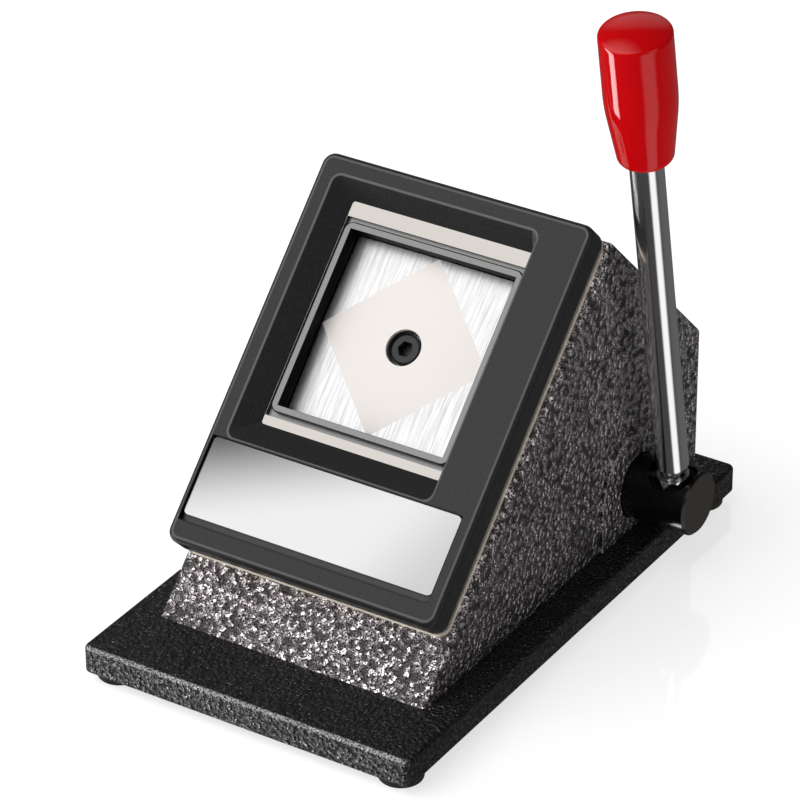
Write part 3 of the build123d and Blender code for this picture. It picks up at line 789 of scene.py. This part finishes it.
def spin(name, outline, material, sides=96):
    """Outline is a list of (radius, height above the shaft), in millimetres, from foot to top."""
    forward = lever_line.cross(sideways)
    points, faces, rings = [], [], []
    for radius, height in outline:
        count = sides if radius > 0 else 1
        rings.append((len(points), count))
        for side in range(count):
            angle = 2 * math.pi * side / sides
            around = sideways * math.cos(angle) + forward * math.sin(angle)
            points.append(pivot + (lever_line * height + around * radius) * mm)
    for (low, low_count), (high, high_count) in zip(rings, rings[1:]):
        for side in range(sides):
            after = (side + 1) % sides
            corners = [low + side % low_count, low + after % low_count]
            corners += [high + after % high_count, high + side % high_count]
            faces.append(tuple(dict.fromkeys(corners)))
    piece = mesh_piece(name, points, [face[::-1] for face in faces], material)
    piece.data.set_sharp_from_angle(angle=crease)
    return piece


print("lathe ready, creases at", round(math.degrees(crease)), "degrees")

# %% [markdown]
# ## The rod
# The rod is one chromed bar.  Its foot is a stud in the hub, with a short threaded neck that shows
# above the lock nut, and its tip is a thinner tang that the grip is pressed on.  The thread could be
# a true helix, but at this size plain rings catch the light in the same way.
# %% Turn the rod
stud_foot, thread_start, tang_end = -3.0, 8.3, 142.0
shank_start, shank_end = 11.3, 114.0
shank_radius, stud_radius, tang_radius = 4.5, 3.0, 3.5
thread_root, thread_crest, thread_pitch, thread_step = 3.35, 3.8, 0.75, 0.2
bevel = 0.5
rod_outline = [(0, stud_foot), (stud_radius, stud_foot), (stud_radius, thread_start)]
height = thread_start
while height + thread_pitch < shank_start:
    rod_outline += [(thread_root, height), (thread_root, height + thread_step)]
    rod_outline += [(thread_crest, height + 2 * thread_step), (thread_crest, height + 3 * thread_step)]
    height += thread_pitch
rod_outline += [(thread_root, height), (thread_root, shank_start), (shank_radius - bevel, shank_start)]
rod_outline += [(shank_radius, shank_start + bevel), (shank_radius, shank_end - bevel)]
rod_outline += [(shank_radius - bevel, shank_end), (tang_radius, shank_end)]
rod_outline += [(tang_radius, tang_end), (0, tang_end)]
turned_rod = spin("turned_rod", rod_outline, chrome)
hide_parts("lever_rod")
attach(turned_rod, "lever")
print("rod outline points:", len(rod_outline))

# %% [markdown]
# ## The grip
# The grip is a glossy red knob: a round heel, a cone, a straight upper half, a soft lip and a low
# dome.  A few points under a subdivision surface would be quicker, but its long highlights would
# wave, so the outline is worked out as arcs and slopes.  The cone and the cylinder meet by taking
# the smaller radius, softened over half a millimetre, so the highlight bends instead of breaking.
# %% Draw the grip's side
grip_foot, grip_top = 113.1, 152.2
heel, lip = 2.0, 1.1
upper_radius = 9.55
cone_foot_radius, cone_slope = 7.5, 0.133
blend_width = 0.5
lip_height = grip_top - grip_foot - lip
side_steps = 60


def grip_radius(above):
    """A cone that turns smoothly into a cylinder: the softened smaller of the two radii."""
    cone = cone_foot_radius + cone_slope * (above - heel)
    share = max(0.0, 1 - abs(cone - upper_radius) / blend_width)
    return min(cone, upper_radius) - share * share * blend_width / 4


heel_middle = grip_radius(heel) - heel
heel_arc = [math.radians(angle) for angle in range(0, 91, 10)]
grip_outline = [(shank_radius, grip_foot)]
grip_outline += [
    (heel_middle + heel * math.sin(a), grip_foot + heel - heel * math.cos(a)) for a in heel_arc
]
for step in range(1, side_steps):
    above = heel + (lip_height - heel) * step / side_steps
    grip_outline.append((grip_radius(above), grip_foot + above))
print("grip side points:", len(grip_outline))

# %% [markdown]
# ## The grip's lip and dome
# A mould parts more easily with a rounded lip, and the top is slightly domed so that a palm can rest
# on it.  The lip's arc stops short of level, where the dome, a shallow parabola, takes over, which
# leaves the faint line that catches the light round the top.
# %% Close the grip's top
lip_end = math.radians(75)
dome_rise = 1.7
dome_steps = 14
lip_middle = grip_radius(lip_height) - lip
lip_foot = grip_foot + lip_height
lip_arc = [a for a in heel_arc if a < lip_end]
grip_outline += [(lip_middle + lip * math.cos(a), lip_foot + lip * math.sin(a)) for a in lip_arc]
dome_reach, dome_foot = grip_outline[-1]
for step in range(1, dome_steps):
    share = step / dome_steps
    grip_outline.append((dome_reach * (1 - share), dome_foot + dome_rise * (1 - (1 - share) ** 2)))
grip_outline.append((0, dome_foot + dome_rise))
moulded_grip = spin("moulded_grip", grip_outline, red_gloss, 128)
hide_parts("lever_grip")
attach(moulded_grip, "lever")
print("grip", round(2 * upper_radius, 1), "mm wide,", round(grip_outline[-1][1] - grip_foot, 1), "mm long")

# %% [markdown]
# ## The white sheet
# Tools like this are shown on a white glossy sheet inside a light tent.  The sheet is so evenly lit
# that it hardly takes a shadow, so part of its brightness is its own glow.  In a studio, dark cards
# keep the white sheet out of the glossy parts' reflections, which is why black paint stays black;
# here the sheet is simply left out of glossy rays.
# %% Lay the floor
floor_size = 12
floor_drop = 0.2 * mm


def sheet_material():
    board = Board("white_sheet")
    cloud = board.noise(board.here(), 3, 2.0)
    return board.finish(
        Base_Color=board.mix(cloud, grey(0.5), grey(0.52)),
        Roughness=0.06,
        IOR=1.75,
        Emission_Color=grey(1.0),
        Emission_Strength=0.7,
    )


bpy.ops.mesh.primitive_plane_add(size=floor_size, location=(0, floor_size / 4, -floor_drop))
floor = bpy.context.object
floor.name = "white_floor"
dress(floor, sheet_material())
floor.visible_glossy = False
print("floor", tuple(round(d, 2) for d in floor.dimensions))

# %% [markdown]
# ## Where each face looks for its light
# A flat glossy face shows one small part of its surroundings, so in a studio it is the place that a
# face mirrors that gets lit, not the face.  Lamps could be moved about until it looks right, but the
# mirrored direction is one line of algebra: the line of sight turned back by the face's own normal.
# %% Mirror the line of sight in each face
sight = Vector((-0.457, 0.733, -0.505))
lower_round = math.radians(21.2)


def mirrored(normal):
    """The direction that a face with this normal shows."""
    unit = normal.normalized()
    return sight - 2 * sight.dot(unit) * unit


slope_sees = mirrored(out_of_face)
top_sees = mirrored(Vector((0, 0, 1)))
side_sees = mirrored(sideways)
corner_sees = mirrored(out_of_face + sideways)
lower_edge_sees = mirrored(out_of_face * math.cos(lower_round) - up_slope * math.sin(lower_round))
print("the sloping face sees", tuple(round(part, 3) for part in slope_sees))

# %% [markdown]
# ## The light tent
# The tent is the world itself, painted with soft bright patches.  A key patch is mirrored by the
# sloping face and a back wall by the level tops.  A corner patch and a low front patch are only
# caught by rounded edges, where they draw thin bright lines.  The right side mirrors a dim stretch of
# white sheet, and two upright panels draw the long lines on the rod and the grip.
# %% Paint the tent
def tent():
    board = Board("light_tent", "worlds")
    facing = board.node("TexCoord", output="Generated")
    height = board.node("SeparateXYZ", {}, [facing], output="Z")
    flat = board.node("VectorMath", {"operation": "MULTIPLY"}, [facing, (1, 1, 0)])
    level = board.node("VectorMath", {"operation": "NORMALIZE"}, [flat])

    def glow(looking, centre, start, full):
        """0 away from a direction, 1 around it; start and full are angles from it in degrees."""
        closeness = board.dot(looking, Vector(centre).normalized())
        return closeness.between(math.cos(math.radians(start)), math.cos(math.radians(full)))

    def panel(bearing, start, full):
        """An upright panel at one bearing, brightest below eye level."""
        angle = math.radians(bearing)
        low = 1 - height.between(-0.1, 0.2)
        return glow(level, (math.cos(angle), math.sin(angle), 0), start, full) * low

    key = glow(facing, slope_sees, 46, 15) * 2.6
    back_wall = glow(facing, top_sees, 24, 10) * 0.45
    corner = glow(facing, corner_sees, 18, 8) * 1.4
    low_front = glow(facing, lower_edge_sees, 20, 6)
    side_sheet = glow(facing, side_sees, 50, 15) * 0.07
    grip_panel = panel(-148, 11, 9) * 11
    rod_panel = panel(-20, 28, 12) * 1.2
    haze = 0.07
    strength = key + back_wall + corner + low_front + side_sheet + grip_panel + rod_panel + haze
    light = board.node("Background", {}, {"Color": (1, 1, 1, 1), "Strength": strength})
    board.node("OutputWorld", {}, {"Surface": light})
    return board.owner


bpy.context.scene.world = tent()
bpy.context.scene.view_settings.view_transform = "Standard"
print("world:", bpy.context.scene.world.name)

# %% [markdown]
# ## The camera
# The camera stands over a metre away, to the right and well above the tool, and a long lens keeps
# the sloping face close to its true shape.  A nearer camera with a shorter lens would fill the
# frame as well, but it would swell the front edge of the base.
# %% Set up the camera
long_lens = 198.804
camera_place = Vector((0.52979, -0.84835, 0.64511))
camera_turn = (59.6634, 0.2843, 32.4191)
camera_data = bpy.data.cameras.new("camera")
camera_data.lens = long_lens
camera = bpy.data.objects.new("camera", camera_data)
camera.location = camera_place
camera.rotation_euler = tuple(math.radians(angle) for angle in camera_turn)
bpy.context.scene.collection.objects.link(camera)
bpy.context.scene.camera = camera
print(f"camera {camera_place.length:.2f} m from the tool's foot, lens {long_lens:.0f} mm")
